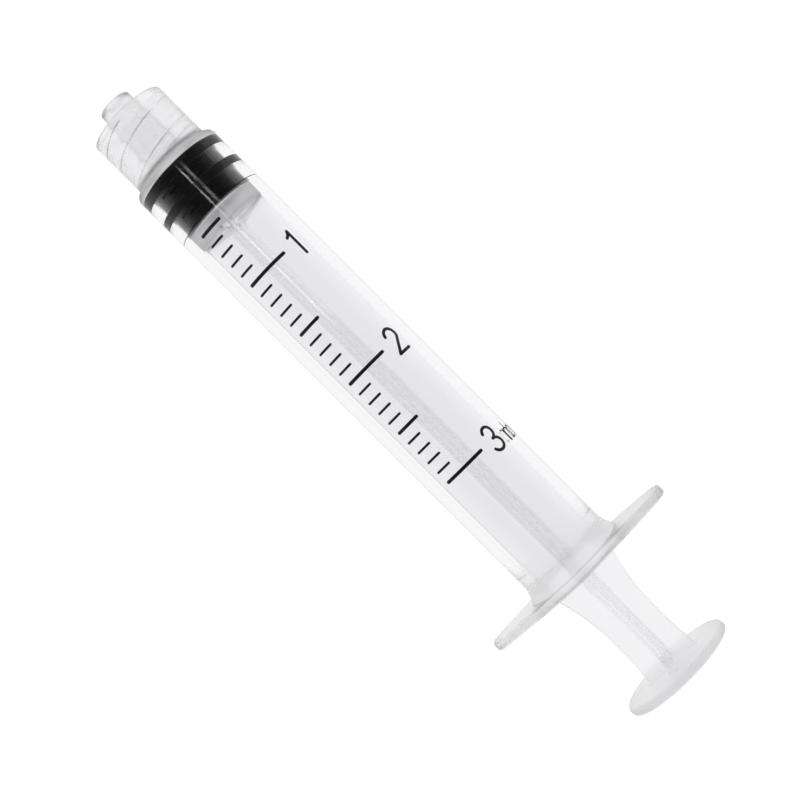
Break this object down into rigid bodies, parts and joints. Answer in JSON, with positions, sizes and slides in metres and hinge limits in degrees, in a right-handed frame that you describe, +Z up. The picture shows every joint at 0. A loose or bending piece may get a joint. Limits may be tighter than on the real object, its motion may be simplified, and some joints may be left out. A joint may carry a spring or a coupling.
{
  "type": "luer lock syringe",
  "caption": "Disposable plastic syringe: clear barrel with lock collar and finger flange, black rubber seal, and a finned plunger rod that slides in the bore.",
  "frame": {"origin": "on the surface that the syringe lies on, under the middle of its length, with the flange's bottom flat at Z = 0", "axes": "+X from the nozzle tip to the thumb press along the plunger's axis, +Y along the finger flange's long axis, +Z up"},
  "size_m": [0.0882, 0.0254, 0.0142],
  "materials": {
    "clear_plastic": "clear polypropylene, glossy, with a faint cool tint and a black printed scale",
    "milky_plastic": "natural translucent polypropylene, satin gloss",
    "seal_rubber": "black rubber, smooth and wetted with silicone"
  },
  "bodies": {
    "barrel": {"barrel": "clear_plastic"},
    "seal": {"plunger_seal": "seal_rubber"},
    "rod": {"plunger_rod": "milky_plastic"}
  },
  "joints": [
    {"name": "plunger_slide", "type": "slide", "parent": "barrel", "child": "seal", "axis": [1, 0, 0], "range_m": [0, 0.049]},
    {"name": "rod_turn", "type": "hinge", "parent": "seal", "child": "rod", "pos_m": [-0.02705, 0, 0.0071], "axis": [1, 0, 0], "continuous": true}
  ]
}
